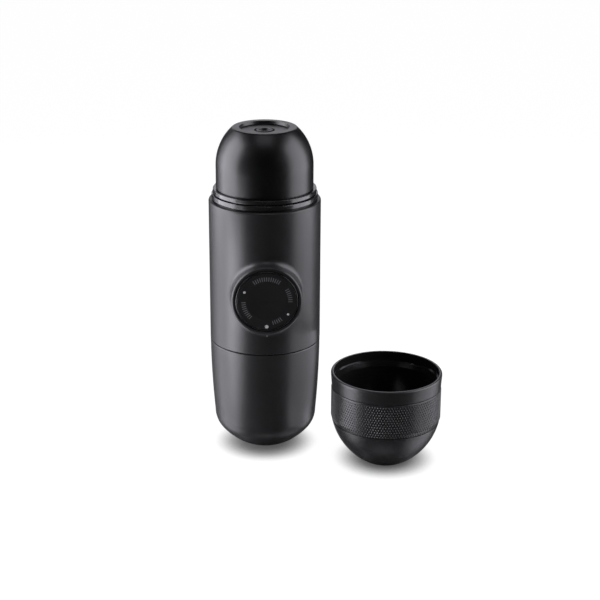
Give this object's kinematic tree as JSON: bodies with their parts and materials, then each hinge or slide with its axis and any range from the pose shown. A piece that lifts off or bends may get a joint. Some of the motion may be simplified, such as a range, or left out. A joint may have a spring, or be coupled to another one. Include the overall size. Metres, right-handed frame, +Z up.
{
  "type": "manual espresso maker",
  "caption": "Handheld pump espresso maker on its water tank, with a round pump knob, ringed dome head and a knurled cup stood beside it.",
  "frame": {"origin": "middle of the water tank's flat foot, on the surface it stands on", "axes": "+Z up along the maker's axis, the pump knob faces -Y, the cup stands on the +X side"},
  "size_m": [0.1207, 0.0817, 0.1747],
  "materials": {
    "satin_shell": "satin anthracite, fine grain",
    "dark_dome": "smooth satin black",
    "gloss_black": "gloss black",
    "inner_plastic": "moulded black",
    "steel": "stainless steel",
    "seal": "soft black silicone"
  },
  "bodies": {
    "tank": {"water_tank": "satin_shell"},
    "tank_seal": {"tank_gasket": "seal"},
    "main_body": {"tank_coupling": "inner_plastic", "air_vent": "seal", "body_sleeve": "satin_shell", "neck_ring": "gloss_black", "pump_chassis": "inner_plastic", "frame_screws": "steel", "pump_block": "inner_plastic", "riser_seal": "seal", "pump_barrel": "steel", "rod_gland": "inner_plastic", "rod_seal": "seal", "barrel_cap": "inner_plastic", "barrel_cap_seal": "seal", "lock_ring": "inner_plastic", "inlet_seat": "inner_plastic", "inlet_spring": "steel", "outlet_seat": "inner_plastic", "outlet_spring": "steel", "intake_tube": "inner_plastic", "intake_filter": "inner_plastic", "shower_plate": "steel", "shower_screw": "steel"},
    "basket": {"filter_basket": "steel"},
    "head_gasket": {"head_seal": "seal"},
    "outlet_head": {"head_shell": "dark_dome", "head_ring": "gloss_black", "screen_carrier": "inner_plastic", "outlet_screen": "steel", "screen_screw": "steel", "outlet_nozzle": "gloss_black", "nozzle_seal": "seal"},
    "piston": {"piston_head": "inner_plastic", "piston_seal": "seal", "piston_rod": "steel", "return_spring": "steel"},
    "knob": {"knob_body": "gloss_black", "knob_face": "dark_dome", "knob_screw": "steel"},
    "inlet_valve_ball": {"inlet_ball": "steel"},
    "outlet_valve_ball": {"outlet_ball": "steel"},
    "cup": {"cup_shell": "satin_shell", "cup_liner": "gloss_black"}
  },
  "joints": [
    {"name": "tank_rise", "type": "slide", "parent": "tank", "child": "tank_seal", "axis": [0, 0, 1], "range_m": [0, 0.036]},
    {"name": "tank_unscrew", "type": "hinge", "parent": "tank_seal", "child": "main_body", "pos_m": [0, 0, 0.0609], "axis": [0, 0, 1], "range_deg": [0, 1080]},
    {"name": "basket_lift", "type": "slide", "parent": "main_body", "child": "basket", "axis": [0, 0, 1], "range_m": [0, 0.018]},
    {"name": "head_rise", "type": "slide", "parent": "main_body", "child": "head_gasket", "axis": [0, 0, 1], "range_m": [0, 0.036]},
    {"name": "head_unscrew", "type": "hinge", "parent": "head_gasket", "child": "outlet_head", "pos_m": [0, 0, 0.1407], "axis": [0, 0, 1], "range_deg": [0, 1080]},
    {"name": "piston_pump", "type": "slide", "parent": "main_body", "child": "piston", "axis": [0, -1, 0], "range_m": [0, 0.011]},
    {"name": "knob_turn", "type": "hinge", "parent": "piston", "child": "knob", "pos_m": [0, -0.0344, 0.0926], "axis": [0, -1, 0], "range_deg": [0, 60]},
    {"name": "inlet_lift", "type": "slide", "parent": "main_body", "child": "inlet_valve_ball", "axis": [0, 0, 1], "range_m": [0, 0.001], "stiffness_N_per_m": 20, "springref_m": -0.002, "deforming": ["inlet_spring"]},
    {"name": "outlet_lift", "type": "slide", "parent": "main_body", "child": "outlet_valve_ball", "axis": [0, 0, 1], "range_m": [0, 0.001], "stiffness_N_per_m": 20, "springref_m": -0.002, "deforming": ["outlet_spring"]},
    {"name": "cup_lift", "type": "slide", "parent": "tank", "child": "cup", "axis": [0, 0, 1], "range_m": [0, 0.15]}
  ],
  "couplings": [
    {"joint": "tank_rise", "follows": "tank_unscrew", "m_per_rad": 0.0019099},
    {"joint": "head_rise", "follows": "head_unscrew", "m_per_rad": 0.0019099},
    {"joint": "basket_lift", "follows": "head_unscrew", "m_per_rad": 0.00095492}
  ]
}
